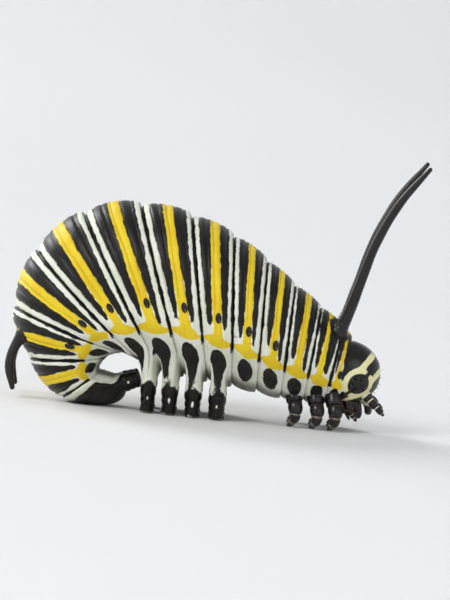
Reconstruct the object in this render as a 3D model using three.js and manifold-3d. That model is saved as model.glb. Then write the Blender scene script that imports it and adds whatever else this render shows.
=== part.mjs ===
// A monarch larva in its last stage, life size, standing with its back arched and its hind end curled under.
// Millimetres. +X points to the head, +Z up, the floor is at Z = 0, and the two sides mirror each other over Y = 0.
import * as THREE from "three";
import { mergeVertices } from "three/addons/utils/BufferGeometryUtils.js";
import Module from "manifold-3d";

const wasm = await Module();
wasm.setup();

// Driving dimensions
const GAP = 0.3; // between neighbouring pieces
const SEGMENT_SIDES = 32;
const SEGMENT_STEPS = [0, 0.07, 0.22, 0.42, 0.64, 0.85, 1];
const TAIL_STEPS = [0, 0.1, 0.28, 0.48, 0.66, 0.8, 0.9, 0.96, 0.99];
const CREASE_DEPTH = 0.075; // share of the radius between a crease and the fullest ring of a segment
const CREASE_SHARE = 0.6; // share of that depth which lies inside the outline below
const FLANK_FOLD = 0.06; // share of the width that the fold below the spiracles stands out

// The outline at the front of each segment: where it meets the back and the belly, as [x, z], and half its width
const RINGS = [
  { segment: "thorax_1", back: [7.0, 5.5], belly: [6.55, 1.5], halfWidth: 1.8 },
  { segment: "thorax_2", back: [6.4, 6.15], belly: [5.7, 1.45], halfWidth: 2.15 },
  { segment: "thorax_3", back: [5.0, 7.15], belly: [4.5, 1.45], halfWidth: 2.75 },
  { segment: "abdomen_1", back: [3.35, 8.3], belly: [3.15, 1.55], halfWidth: 3.3 },
  { segment: "abdomen_2", back: [1.6, 9.55], belly: [1.7, 1.75], halfWidth: 3.75 },
  { segment: "abdomen_3", back: [-0.5, 10.8], belly: [0.25, 1.95], halfWidth: 4.05 },
  { segment: "abdomen_4", back: [-3.1, 11.75], belly: [-1.2, 2.1], halfWidth: 4.2 },
  { segment: "abdomen_5", back: [-6.15, 12.1], belly: [-2.6, 2.25], halfWidth: 4.25 },
  { segment: "abdomen_6", back: [-9.45, 11.25], belly: [-3.95, 2.45], halfWidth: 4.15 },
  { segment: "abdomen_7", back: [-12.0, 8.75], belly: [-5.15, 2.85], halfWidth: 3.85 },
  { segment: "abdomen_8", back: [-12.95, 5.3], belly: [-6.3, 3.25], halfWidth: 3.35 },
  { segment: "abdomen_9", back: [-11.8, 2.35], belly: [-7.25, 2.85], halfWidth: 2.75 },
  { segment: "abdomen_10", back: [-9.7, 0.2], belly: [-7.5, 2.1], halfWidth: 2.15 },
  { segment: "tail_end", back: [-6.1, -0.25], belly: [-5.7, 2.0], halfWidth: 1.7 },
];
const SEGMENTS = RINGS.length - 1;

const HEAD = { x: 6.85, z: 3.35, depth: 2.05, halfHeight: 2.0, halfWidth: 1.88 };
const HEAD_SIDES = 32;
const HEAD_STEPS = 15;
const EYES = { x: 7.65, z: 2.9, padRadius: 0.62, pad: 0.5, lens: 0.16, arc: 0.42 };

const LEG_RINGS = [0, 1, 2]; // each thoracic segment carries a pair
const LEG = { hipY: 1.0, hipRise: 0.75, kneeY: 1.75, footY: 1.2, stride: -0.15, kneeAhead: 0.3 };
// Each joint is a little thinner than the pieces above and below it
const LEG_RADII = [0.5, 0.5, 0.43, 0.35, 0.43, 0.39, 0.27, 0.33, 0.28, 0.2, 0.13];
const LEG_STEPS = 15;

const PROLEG_RINGS = [5, 6, 7, 8]; // the third to sixth abdominal segments carry a pair each
const PROLEG = { rootY: 2.3, rootRise: 1.9, soleY: 1.75, shareOfSegment: 0.375 };
// Half length is a share of the full one and half width is in millimetres, from the root down to the sole
const PROLEG_SHAPE = [
  { down: 0, along: 1.0, halfWidth: 0.95 },
  { down: 0.35, along: 1.0, halfWidth: 0.92 },
  { down: 0.58, along: 0.98, halfWidth: 0.84 },
  { down: 0.78, along: 0.9, halfWidth: 0.72 },
  { down: 0.9, along: 0.94, halfWidth: 0.76 },
  { down: 1, along: 1.0, halfWidth: 0.8 },
];

// The last pair grows from the tail's end, and reaches forward and up because the tail lies on its back
const ANAL_PROLEG = {
  line: [[-7.4, 0.8, 0.8], [-6.6, 0.85, 1.25], [-5.85, 0.85, 1.6], [-5.2, 0.8, 1.85]],
  radii: [0.68, 0.66, 0.58, 0.5, 0.46],
};

// Fleshy filaments: the long pair grows from the second thoracic segment, the short pair from the eighth abdominal
const FRONT_FILAMENT = {
  line: [[6.0, 1.0, 5.5], [6.5, 1.25, 6.6], [7.05, 1.6, 8.6], [7.75, 2.05, 11.2], [8.92, 2.5, 13.8], [10.5, 2.85, 16.05]],
  radii: [0.36, 0.32, 0.29, 0.27, 0.25, 0.22, 0.13],
  steps: 18,
  host: 1,
};
const REAR_FILAMENT = {
  line: [[-11.6, 0.95, 4.3], [-12.5, 1.25, 3.3], [-12.85, 1.5, 1.95], [-12.5, 1.75, 0.5]],
  radii: [0.34, 0.31, 0.28, 0.25, 0.14],
  steps: 10,
  host: 10,
};
const FILAMENT_SIDES = 8;

// Materials
const FINISH = {
  skin: new THREE.MeshStandardMaterial({ color: 0xe9d24a, roughness: 0.5, metalness: 0 }),
  black: new THREE.MeshStandardMaterial({ color: 0x161412, roughness: 0.35, metalness: 0 }),
  horn: new THREE.MeshStandardMaterial({ color: 0x2a1c12, roughness: 0.3, metalness: 0 }),
  eye: new THREE.MeshStandardMaterial({ color: 0x050505, roughness: 0.1, metalness: 0 }),
};

// Closed surfaces from rings of points
function surface(rings) {
  const count = rings[0].length;
  const points = rings.flat();
  const index = [];
  for (let r = 0; r + 1 < rings.length; r++) {
    for (let k = 0; k < count; k++) {
      const a = r * count + k;
      const b = r * count + ((k + 1) % count);
      index.push(a, b, a + count, b, b + count, a + count);
    }
  }
  for (const [ring, first] of [[rings[0], true], [rings.at(-1), false]]) {
    const start = first ? 0 : (rings.length - 1) * count;
    const centre = points.length;
    points.push(middle(ring));
    for (let k = 0; k < count; k++) {
      const a = start + k;
      const b = start + ((k + 1) % count);
      index.push(...(first ? [b, a, centre] : [a, b, centre]));
    }
  }
  return facingOut(points, index);
}

function middle(ring) {
  const sum = ring.reduce((total, p) => total.add(p), new THREE.Vector3());
  return sum.divideScalar(ring.length);
}

function facingOut(points, index) {
  let volume = 0;
  const cross = new THREE.Vector3();
  for (let i = 0; i < index.length; i += 3) {
    cross.crossVectors(points[index[i + 1]], points[index[i + 2]]);
    volume += points[index[i]].dot(cross);
  }
  if (volume < 0) index.reverse();
  const geometry = new THREE.BufferGeometry().setFromPoints(points);
  geometry.setIndex(index);
  return geometry;
}

// To a solid and back
function toSolid(geometry) {
  const plain = geometry.clone();
  for (const name of ["normal", "uv"]) plain.deleteAttribute(name);
  const merged = mergeVertices(plain, 1e-4);
  return new wasm.Manifold(
    new wasm.Mesh({
      numProp: 3,
      vertProperties: merged.attributes.position.array,
      triVerts: new Uint32Array(merged.index.array),
    }),
  );
}

function toGeometry(solid) {
  const largest = solid.decompose().sort((a, b) => b.volume() - a.volume())[0];
  const mesh = largest.getMesh();
  const geometry = new THREE.BufferGeometry();
  geometry.setAttribute("position", new THREE.BufferAttribute(mesh.vertProperties, 3));
  geometry.setIndex(new THREE.BufferAttribute(mesh.triVerts, 1));
  return geometry;
}

const aboveFloor = (solid) => solid.trimByPlane([0, 0, 1], 0);

// The body's own outline
const spline = (pick) => new THREE.SplineCurve(RINGS.map((ring, i) => new THREE.Vector2(...pick(ring, i))));
const backLine = spline((ring) => ring.back);
const bellyLine = spline((ring) => ring.belly);
const widthLine = spline((ring, i) => [i, ring.halfWidth]);

// How full a segment is at a share of its way back: it stands proud in front and slopes to its hind crease
function swell(share) {
  const rise = 0.22;
  const fall = 0.5;
  const peak = rise / (rise + fall);
  const shape = (f) => f ** rise * (1 - f) ** fall;
  return shape(THREE.MathUtils.clamp(share, 0, 1)) / shape(peak);
}

function tailRounding(share) {
  return Math.sqrt(Math.max(0, 1 - share ** 2.2));
}

// A point on the skin: station counts rings from the head, and angle goes round from the belly
function bodyPoint(station, angle, grow = 0, creased = true) {
  const u = THREE.MathUtils.clamp(station / SEGMENTS, 0, 1);
  const back = backLine.getPoint(u);
  const belly = bellyLine.getPoint(u);
  const segment = Math.min(Math.floor(station), SEGMENTS - 1);
  const share = station - segment;
  const last = segment === SEGMENTS - 1;
  const swelling = creased ? swell(last ? share * 0.5 : share) : 1;
  let fullness = 1 + CREASE_DEPTH * (swelling - CREASE_SHARE);
  if (last && creased) fullness *= tailRounding(share);
  const up = back.clone().sub(belly);
  const halfHeight = up.length() / 2;
  up.normalize();
  const height = -Math.cos(angle);
  const fold = 1 + FLANK_FOLD * Math.exp(-(((height + 0.35) / 0.25) ** 2));
  const rise = height * (halfHeight * fullness + grow);
  const across = Math.sin(angle) * (widthLine.getPoint(u).y * fullness * fold + grow);
  const centre = back.add(belly).multiplyScalar(0.5);
  return new THREE.Vector3(centre.x + up.x * rise, across, centre.y + up.y * rise);
}

const anglesRound = (sides) => Array.from({ length: sides }, (_, k) => (2 * Math.PI * k) / sides);

// One segment between its two creases, kept clear of its neighbours along every line of its skin
function segmentGeometry(index) {
  const last = index === SEGMENTS - 1;
  const steps = last ? TAIL_STEPS : SEGMENT_STEPS;
  const rings = steps.map((step) =>
    anglesRound(SEGMENT_SIDES).map((angle) => {
      const length = bodyPoint(index, angle, 0, false).distanceTo(bodyPoint(index + 1, angle, 0, false));
      const trim = Math.min(0.35, GAP / 2 / length);
      const share = last ? trim + (1 - trim) * step : trim + (1 - 2 * trim) * step;
      return bodyPoint(index + Math.min(share, 0.9999), angle);
    }),
  );
  return surface(rings);
}

// A stretch of the body, swollen by the gap, which cuts what grows from it
function bodyCutter(from, to, sides = 28) {
  const rings = [];
  for (let station = from; station <= to + 1e-6; station += 0.25) {
    rings.push(anglesRound(sides).map((angle) => bodyPoint(Math.min(station, SEGMENTS), angle, GAP, false)));
  }
  return toSolid(surface(rings));
}

// A limb of round section along a smooth line, with its radius running through the given values
function limb(line, radii, steps, sides, side = 1) {
  const curve = new THREE.CatmullRomCurve3(line.map(([x, y, z]) => new THREE.Vector3(x, y * side, z)));
  const girth = new THREE.SplineCurve(radii.map((r, i) => new THREE.Vector2(i, r)));
  const frames = curve.computeFrenetFrames(steps, false);
  const rings = [];
  for (let i = 0; i <= steps; i++) {
    const centre = curve.getPointAt(i / steps);
    const radius = girth.getPoint(i / steps).y;
    rings.push(
      anglesRound(sides).map((angle) =>
        centre
          .clone()
          .addScaledVector(frames.normals[i], radius * Math.cos(angle))
          .addScaledVector(frames.binormals[i], radius * Math.sin(angle)),
      ),
    );
  }
  return toSolid(surface(rings));
}

function filamentGeometry(filament, side) {
  const tube = limb(filament.line, filament.radii, filament.steps, FILAMENT_SIDES, side);
  return toGeometry(aboveFloor(tube.subtract(bodyCutter(filament.host - 0.5, filament.host + 1.5))));
}

// A jointed leg: hip, knee and a claw that stands on the floor
function legGeometry(ring, side) {
  const belly = bellyLine.getPoint((ring + 0.5) / SEGMENTS);
  const foot = [belly.x + LEG.stride, LEG.footY, -0.08];
  const line = [
    [belly.x, LEG.hipY, belly.y + LEG.hipRise],
    [belly.x + LEG.kneeAhead * 0.5, (LEG.hipY + LEG.kneeY) / 2, belly.y + 0.1],
    [belly.x + LEG.kneeAhead, LEG.kneeY, belly.y * 0.55],
    [belly.x + LEG.kneeAhead * 0.6, (LEG.kneeY + LEG.footY) / 2 + 0.15, belly.y * 0.25],
    foot,
  ];
  const from = Math.max(0, ring - 1);
  return toGeometry(aboveFloor(limb(line, LEG_RADII, LEG_STEPS, 10, side).subtract(bodyCutter(from, ring + 2))));
}

// A fleshy proleg, widest where it leaves the body and again at its sole
function prolegGeometry(ring, side) {
  const belly = bellyLine.getPoint((ring + 0.5) / SEGMENTS);
  const pitch = bellyLine.getPoint(ring / SEGMENTS).distanceTo(bellyLine.getPoint((ring + 1) / SEGMENTS));
  const root = new THREE.Vector3(belly.x - 0.1, PROLEG.rootY, belly.y + PROLEG.rootRise);
  const sole = new THREE.Vector3(belly.x, PROLEG.soleY, 0);
  const rings = PROLEG_SHAPE.map(({ down, along, halfWidth }) => {
    const centre = root.clone().lerp(sole, down);
    return anglesRound(14).map(
      (angle) =>
        new THREE.Vector3(
          centre.x + Math.cos(angle) * along * PROLEG.shareOfSegment * pitch,
          (centre.y + Math.sin(angle) * halfWidth) * side,
          centre.z,
        ),
    );
  });
  return toGeometry(toSolid(surface(rings)).subtract(bodyCutter(ring - 1, ring + 2)));
}

// One of the last pair, cut clear of the tail's own skin
function analProlegGeometry(side) {
  const solid = limb(ANAL_PROLEG.line, ANAL_PROLEG.radii, 7, 12, side);
  return toGeometry(aboveFloor(solid.subtract(tailCutter())));
}

function tailCutter() {
  const rings = [];
  for (const step of [-0.5, 0, 0.3, 0.6, 0.8, 0.92, 0.99]) {
    const station = SEGMENTS - 1 + step;
    rings.push(anglesRound(28).map((angle) => grownTailPoint(station, angle)));
  }
  return toSolid(surface(rings));
}

function grownTailPoint(station, angle) {
  const point = bodyPoint(station, angle, station > SEGMENTS - 1 ? GAP : GAP);
  const ahead = Math.max(0, station - (SEGMENTS - 1));
  return point.add(new THREE.Vector3(GAP * ahead, 0, 0));
}

// The head capsule, two lobes with a groove between them at the top, narrowing to the mouth
function headPoint(turn, angle, grow = 0) {
  const forward = Math.cos(turn);
  const round = Math.sin(turn) ** 0.92;
  const up = -Math.cos(angle) * round;
  const side = Math.sin(angle) * round;
  const groove = 0.07 * Math.exp(-((side / 0.16) ** 2)) * THREE.MathUtils.smoothstep(up, 0.1, 0.8);
  const narrow = 1 - 0.16 * THREE.MathUtils.smoothstep(-up, 0.1, 1);
  return new THREE.Vector3(
    HEAD.x + forward * (HEAD.depth + grow) * (1 - 0.05 * Math.max(0, -up)),
    side * (HEAD.halfWidth + grow) * narrow,
    HEAD.z + up * (HEAD.halfHeight + grow) * (1 - groove),
  );
}

function headSolid(grow = 0) {
  const rings = [];
  for (let i = 0; i <= HEAD_STEPS; i++) {
    const turn = 0.02 + ((Math.PI - 0.04) * i) / HEAD_STEPS;
    rings.push(anglesRound(HEAD_SIDES).map((angle) => headPoint(turn, angle, grow)));
  }
  return toSolid(surface(rings));
}

// The plane where the head leaves the first segment's front ring
function neckPlane() {
  const up = new THREE.Vector2(...RINGS[0].back).sub(new THREE.Vector2(...RINGS[0].belly)).normalize();
  const normal = [up.y, 0, -up.x];
  const offset = normal[0] * RINGS[0].belly[0] + normal[2] * RINGS[0].belly[1] + GAP / 2;
  return { normal, offset };
}

// A straight round plug from one point to another
function plug(from, to, radius, sides = 16) {
  const axis = new THREE.Vector3(...to).sub(new THREE.Vector3(...from));
  const geometry = new THREE.CylinderGeometry(radius, radius, axis.length(), sides);
  geometry.applyQuaternion(
    new THREE.Quaternion().setFromUnitVectors(new THREE.Vector3(0, 1, 0), axis.clone().normalize()),
  );
  geometry.translate(...new THREE.Vector3(...from).addScaledVector(axis, 0.5).toArray());
  return toSolid(geometry);
}

// Where the eyes sit on the side of the head, and the way they look
function eyeFrame(side) {
  const up = (EYES.z - HEAD.z) / HEAD.halfHeight;
  const forward = (EYES.x - HEAD.x) / HEAD.depth;
  const across = Math.sqrt(Math.max(0.05, 1 - up * up - forward * forward));
  const centre = new THREE.Vector3(EYES.x, across * HEAD.halfWidth * side, EYES.z);
  const look = new THREE.Vector3(forward / HEAD.depth, (across / HEAD.halfWidth) * side, up / HEAD.halfHeight);
  return { centre, look: look.normalize() };
}

function eyePlug(side, radius, depth) {
  const { centre, look } = eyeFrame(side);
  const inner = centre.clone().addScaledVector(look, -depth);
  const outer = centre.clone().addScaledVector(look, 0.6);
  return plug(inner.toArray(), outer.toArray(), radius);
}

// Six small lenses in an arc, raised on a sunk pad
function eyeGeometry(side) {
  const { centre, look } = eyeFrame(side);
  let pad = eyePlug(side, EYES.padRadius, EYES.pad).intersect(headSolid(0.02));
  const right = new THREE.Vector3(0, 0, 1).cross(look).normalize();
  const above = look.clone().cross(right);
  for (let i = 0; i < 6; i++) {
    const turn = (-0.75 + (1.9 * i) / 5) * Math.PI * 0.9;
    const place = centre
      .clone()
      .addScaledVector(right, Math.cos(turn) * EYES.arc * side)
      .addScaledVector(above, Math.sin(turn) * EYES.arc);
    const lens = new THREE.SphereGeometry(EYES.lens, 7, 5).translate(...place.toArray());
    pad = pad.add(toSolid(lens));
  }
  return toGeometry(pad);
}

function headGeometry() {
  const { normal, offset } = neckPlane();
  let solid = headSolid().trimByPlane(normal, offset);
  for (const side of [1, -1]) solid = solid.subtract(eyePlug(side, EYES.padRadius + GAP, EYES.pad + GAP));
  return toGeometry(solid);
}

// Mouthparts hang below the head and are cut clear of it
const onHead = (solid) => toGeometry(solid.subtract(headSolid(GAP)));

// Material for the skin parts and the dark parts, and the list of named pieces
const larva = new THREE.Group();
const placed = new THREE.Group();
larva.add(placed);

function addPiece(name, geometry, material) {
  const mesh = new THREE.Mesh(geometry, material);
  mesh.name = name;
  placed.add(mesh);
}

addPiece("head_capsule", headGeometry(), FINISH.black);
for (let i = 0; i < SEGMENTS; i++) {
  const whole = toSolid(segmentGeometry(i));
  addPiece(RINGS[i].segment, toGeometry(aboveFloor(whole)), FINISH.skin);
}

const LABRUM = { line: [[8.0, 0, 1.95], [8.35, 0, 1.5], [8.4, 0, 1.05]], halfWidth: 0.62, halfDepth: 0.24 };
const labrumRings = LABRUM.line.map(([x, , z], i) =>
  anglesRound(14).map(
    (angle) =>
      new THREE.Vector3(
        x + Math.cos(angle) * LABRUM.halfDepth,
        Math.sin(angle) * LABRUM.halfWidth * (1 - 0.12 * i),
        z,
      ),
  ),
);
addPiece("labrum", onHead(toSolid(surface(labrumRings))), FINISH.horn);
const labium = limb([[6.95, 0, 1.7], [7.05, 0, 1.2], [7.2, 0, 0.7]], [0.3, 0.3, 0.24, 0.12], 6, 10);
addPiece("labium", onHead(labium), FINISH.horn);

for (const [name, side] of [["left", 1], ["right", -1]]) {
  addPiece("stemmata_" + name, eyeGeometry(side), FINISH.eye);
  const mandible = limb([[7.5, 0.52, 1.8], [7.7, 0.5, 1.3], [7.78, 0.45, 0.85]], [0.34, 0.34, 0.3, 0.2], 6, 10, side);
  addPiece("mandible_" + name, onHead(mandible), FINISH.horn);
  const maxilla = limb([[7.1, 0.9, 1.95], [7.3, 0.88, 1.25], [7.75, 0.82, 0.65]], [0.36, 0.33, 0.27, 0.13], 7, 10, side);
  addPiece("maxilla_" + name, onHead(maxilla), FINISH.horn);
  const antenna = limb([[8.0, 0.95, 2.4], [8.6, 1.15, 1.85], [9.3, 1.35, 1.2]], [0.32, 0.3, 0.27, 0.22, 0.14], 8, 10, side);
  addPiece("antenna_" + name, onHead(antenna), FINISH.horn);
  addPiece("filament_front_" + name, filamentGeometry(FRONT_FILAMENT, side), FINISH.black);
  addPiece("filament_rear_" + name, filamentGeometry(REAR_FILAMENT, side), FINISH.black);
  LEG_RINGS.forEach((ring, i) => addPiece(`leg_${i + 1}_${name}`, legGeometry(ring, side), FINISH.black));
  PROLEG_RINGS.forEach((ring, i) => addPiece(`proleg_${i + 3}_${name}`, prolegGeometry(ring, side), FINISH.skin));
  addPiece("anal_proleg_" + name, analProlegGeometry(side), FINISH.skin);
}

// The middle of the whole length becomes X = 0
const extent = new THREE.Box3().setFromObject(placed);
placed.position.x = -(extent.min.x + extent.max.x) / 2;

export default larva;
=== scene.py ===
"""Monarch larva: the visible model over its solid frame, as an add-on with an operator for each piece."""

import dataclasses
import functools
import math
import random

import bmesh
import bpy
import numpy as np
from mathutils import Matrix, Vector, noise


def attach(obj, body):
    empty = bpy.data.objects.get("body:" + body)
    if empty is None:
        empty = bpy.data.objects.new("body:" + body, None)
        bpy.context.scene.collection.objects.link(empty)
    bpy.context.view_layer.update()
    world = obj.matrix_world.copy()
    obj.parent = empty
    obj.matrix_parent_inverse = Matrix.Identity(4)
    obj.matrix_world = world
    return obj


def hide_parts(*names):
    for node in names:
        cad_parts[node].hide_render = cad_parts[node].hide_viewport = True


bl_info = {
    "name": "Monarch Larva",
    "version": (1, 0, 0),
    "blender": (4, 5, 0),
    "location": "3D View > Sidebar > Larva",
    "description": "Builds a still, life-size monarch larva and its studio",
    "category": "Object",
}

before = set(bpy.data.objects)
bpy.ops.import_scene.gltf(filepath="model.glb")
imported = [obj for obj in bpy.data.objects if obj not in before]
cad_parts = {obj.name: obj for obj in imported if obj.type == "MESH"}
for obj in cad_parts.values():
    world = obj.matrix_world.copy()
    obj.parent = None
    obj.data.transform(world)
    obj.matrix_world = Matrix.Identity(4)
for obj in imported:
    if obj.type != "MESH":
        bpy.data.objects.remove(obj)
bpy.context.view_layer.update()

# Sizes below are in millimetres, and this turns them to metres
MM = 0.001
# The middle of the whole length in the outline's own coordinates, which the frame puts at X = 0
CENTRE_X = -1.25054

# The outline where each segment begins: back and belly as (x, z), and half the width
RINGS = (
    ((7.0, 5.5), (6.55, 1.5), 1.8),
    ((6.4, 6.15), (5.7, 1.45), 2.15),
    ((5.0, 7.15), (4.5, 1.45), 2.75),
    ((3.35, 8.3), (3.15, 1.55), 3.3),
    ((1.6, 9.55), (1.7, 1.75), 3.75),
    ((-0.5, 10.8), (0.25, 1.95), 4.05),
    ((-3.1, 11.75), (-1.2, 2.1), 4.2),
    ((-6.15, 12.1), (-2.6, 2.25), 4.25),
    ((-9.45, 11.25), (-3.95, 2.45), 4.15),
    ((-12.0, 8.75), (-5.15, 2.85), 3.85),
    ((-12.95, 5.3), (-6.3, 3.25), 3.35),
    ((-11.8, 2.35), (-7.25, 2.85), 2.75),
    ((-9.7, 0.2), (-7.5, 2.1), 2.15),
    ((-6.1, -0.25), (-5.7, 2.0), 1.7),
)
SEGMENTS = len(RINGS) - 1
LAST = SEGMENTS - 1
# A segment swells by CREASE_DEPTH of its size between its creases, and meets the outline at CREASE_SHARE
# of that swelling
CREASE_DEPTH = 0.075
CREASE_SHARE = 0.6
# The flank fold stands out by this share of the half width
FLANK_FOLD = 0.06

# The near filaments: middle lines from inside the body to the tip, and radii along them
FRONT_LINE = (
    (6.0, 1.0, 5.5), (6.5, 1.25, 6.6), (7.05, 1.6, 8.6), (7.75, 2.05, 11.2), (8.92, 2.5, 13.8),
    (10.5, 2.85, 16.05),
)
FRONT_RADII = (0.36, 0.32, 0.29, 0.27, 0.25, 0.22, 0.13)
REAR_LINE = ((-11.6, 0.95, 4.3), (-12.5, 1.25, 3.3), (-12.85, 1.5, 1.95), (-12.5, 1.75, 0.5))
REAR_RADII = (0.34, 0.31, 0.28, 0.25, 0.14)

SIDES = (("left", 1), ("right", -1))


# Curves and surfaces


def turns_of(sides):
    """Even bearings once round a ring."""
    return np.linspace(0, 2 * np.pi, sides, endpoint=False)


def catmull(values, share):
    """Smooth curve through evenly spaced values, read at shares of its whole."""
    values = np.asarray(values, float)
    last = len(values) - 1
    place = np.clip(share, 0, 1) * last
    low = np.floor(place).astype(int)
    weight = place - low
    picks = [values[np.clip(low + k, 0, last)] for k in (-1, 0, 1, 2)]
    if values.ndim > 1:
        weight = weight[..., None]
    before, start, end, after = picks
    slope_in = (end - before) * 0.5
    slope_out = (after - start) * 0.5
    square = weight * weight
    cube = square * weight
    return (
        (2 * start - 2 * end + slope_in + slope_out) * cube
        + (-3 * start + 3 * end - 2 * slope_in - slope_out) * square
        + slope_in * weight
        + start
    )


def swell(share):
    """A segment's bulge from crease to crease, 1 at its fullest, which lies towards its front."""
    rise, fall = 0.22, 0.5
    peak = rise / (rise + fall)
    share = np.clip(share, 0, 1)
    return share**rise * (1 - share) ** fall / (peak**rise * (1 - peak) ** fall)


def smoothstep(low, high, value):
    """0 below the low value and 1 above the high one, with a smooth rise between."""
    t = np.clip((value - low) / (high - low), 0, 1)
    return t * t * (3 - 2 * t)


def soft_max(first, second, reach):
    """The larger of two fields, with the corner where they cross rounded over a reach."""
    weight = np.clip(0.5 + 0.5 * (first - second) / reach, 0, 1)
    return second + (first - second) * weight + reach * weight * (1 - weight)


def soft_min(first, second, reach):
    """The smaller of two fields, rounded in the same way."""
    return -soft_max(-np.asarray(first), -np.asarray(second), reach)


def body_surface(station, angle):
    """Points of the body's skin: station counts segments from the head, angle goes round from the belly."""
    station, angle = np.broadcast_arrays(np.asarray(station, float), np.asarray(angle, float))
    share_of_all = station / SEGMENTS
    back = catmull([ring[0] for ring in RINGS], share_of_all)
    belly = catmull([ring[1] for ring in RINGS], share_of_all)
    half_width = catmull([ring[2] for ring in RINGS], share_of_all)
    segment = np.minimum(np.floor(station), LAST)
    share = station - segment
    last = segment == LAST
    full = 1 + CREASE_DEPTH * (swell(np.where(last, share * 0.5, share)) - CREASE_SHARE)
    full = np.where(last, full * np.sqrt(np.clip(1 - np.clip(share, 0, 1) ** 2.2, 0, 1)), full)
    up = back - belly
    length = np.linalg.norm(up, axis=-1)
    up = up / length[..., None]
    height = -np.cos(angle)
    fold = 1 + FLANK_FOLD * np.exp(-(((height + 0.35) / 0.25) ** 2))
    rise = height * length / 2 * full
    middle = (back + belly) / 2
    x = middle[..., 0] + up[..., 0] * rise
    z = middle[..., 1] + up[..., 1] * rise
    return np.stack([x, np.sin(angle) * half_width * full * fold, z], axis=-1)


def smooth_line(points, shares):
    """Centripetal curve through points, read at shares of its length, with its directions."""
    points = np.asarray(points, float)
    ends = np.vstack([2 * points[0] - points[1], points, 2 * points[-1] - points[-2]])
    dense = []
    for i in range(len(points) - 1):
        p0, p1, p2, p3 = ends[i : i + 4]
        d0, d1, d2 = (np.linalg.norm(b - a) ** 0.5 for a, b in ((p0, p1), (p1, p2), (p2, p3)))
        slope_in = ((p1 - p0) / d0 - (p2 - p0) / (d0 + d1) + (p2 - p1) / d1) * d1
        slope_out = ((p2 - p1) / d1 - (p3 - p1) / (d1 + d2) + (p3 - p2) / d2) * d1
        t = np.linspace(0, 1, 41)[:, None]
        if i < len(points) - 2:
            t = t[:-1]
        dense.append(
            p1 + slope_in * t + (-3 * p1 + 3 * p2 - 2 * slope_in - slope_out) * t**2
            + (2 * p1 - 2 * p2 + slope_in + slope_out) * t**3
        )
    dense = np.vstack(dense)
    run = np.concatenate([[0], np.cumsum(np.linalg.norm(np.diff(dense, axis=0), axis=1))])
    wanted = np.asarray(shares, float) * run[-1]
    centre = np.stack([np.interp(wanted, run, dense[:, k]) for k in range(3)], axis=-1)
    slopes = np.gradient(dense, run, axis=0)
    along = np.stack([np.interp(wanted, run, slopes[:, k]) for k in range(3)], axis=-1)
    return centre, along / np.linalg.norm(along, axis=1)[:, None]


def carried_frames(along):
    """Two side directions at each step of a line, carried along it without twist."""
    first = np.cross(along[0], (0.0, 1.0, 0.0))
    first /= np.linalg.norm(first)
    rights = []
    for direction in along:
        first = first - direction * first.dot(direction)
        first = first / np.linalg.norm(first)
        rights.append(first)
    rights = np.array(rights)
    return rights, np.cross(along, rights)


# How far inside a pale band a point of a hard piece lies where no band is near
DARK = -0.2


class Shell:
    """Points, faces and named values for each point, gathered from several closed forms."""

    def __init__(self, **plain):
        """Take what each value is where a form doesn't say. A hard piece has one: how pale it is."""
        self.plain = plain or {"pale": DARK}
        self.points = []
        self.faces = []
        self.values = {name: [] for name in self.plain}
        self.count = 0

    def add_points(self, points, **values):
        """Add points and what is known of them, and return the first one's number."""
        points = np.asarray(points, float).reshape(-1, 3)
        start = self.count
        self.points.append(points)
        self.count += len(points)
        for name, plain in self.plain.items():
            value = np.asarray(values.get(name, plain), float).reshape(-1)
            self.values[name].append(np.broadcast_to(value, (len(points),)))
        return start

    def add_rings(self, rings, without=(), **values):
        """A tube of rings with some quads left out, closed by a point in the middle of each end ring.

        A value is one number for all, one for each ring or one for each point.
        """
        rings = np.asarray(rings, float)
        steps, sides = rings.shape[:2]
        spread = {}
        for name, value in values.items():
            value = np.asarray(value, float)
            value = value[:, None] if value.ndim == 1 else value
            spread[name] = np.broadcast_to(value, (steps, sides))
        number = self.add_points(rings, **spread) + np.arange(steps * sides).reshape(steps, sides)
        ahead = np.roll(number, -1, axis=1)
        quads = np.stack([number[:-1], ahead[:-1], ahead[1:], number[1:]], axis=-1).reshape(-1, 4)
        self.faces += [quad for place, quad in enumerate(quads.tolist()) if place not in without]
        for row in (0, -1):
            tip = self.add_points(rings[row].mean(axis=0), **{k: v[row].mean() for k, v in spread.items()})
            self.faces += [[a, b, tip] for a, b in zip(number[row].tolist(), ahead[row].tolist())]

    def build(self, name, material, slot, *nodes):
        """Make one object of it, in metres and in the frame's place, that stands for the named nodes."""
        points = (np.vstack(self.points) - (CENTRE_X, 0, 0)) * MM
        mesh = bpy.data.meshes.new(name)
        mesh.from_pydata(points.tolist(), [], self.faces)
        # Turn every face out
        turned = bmesh.new()
        turned.from_mesh(mesh)
        bmesh.ops.recalc_face_normals(turned, faces=turned.faces)
        turned.to_mesh(mesh)
        turned.free()
        for key, kept in self.values.items():
            layer = mesh.attributes.new(key, "FLOAT", "POINT")
            layer.data.foreach_set("value", np.concatenate(kept).astype(np.float32))
        mesh.shade_smooth()
        mesh.materials.append(material)
        piece = bpy.data.objects.new(name, mesh)
        bpy.context.collection.objects.link(piece)
        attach(piece, "root")
        if nodes:
            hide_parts(*nodes)
        return piece


def rings_along(line, shares, radius, sides, flat=1.0):
    """Rings round a smooth line at shares of its length, with a radius and a flattening at each."""
    centre, along = smooth_line(line, shares)
    right, above = carried_frames(along)
    turn = turns_of(sides)
    wide = np.asarray(radius)[:, None] * np.cos(turn)
    deep = np.asarray(radius * flat)[:, None] * np.sin(turn)
    return centre[:, None] + wide[..., None] * right[:, None] + deep[..., None] * above[:, None]


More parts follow.
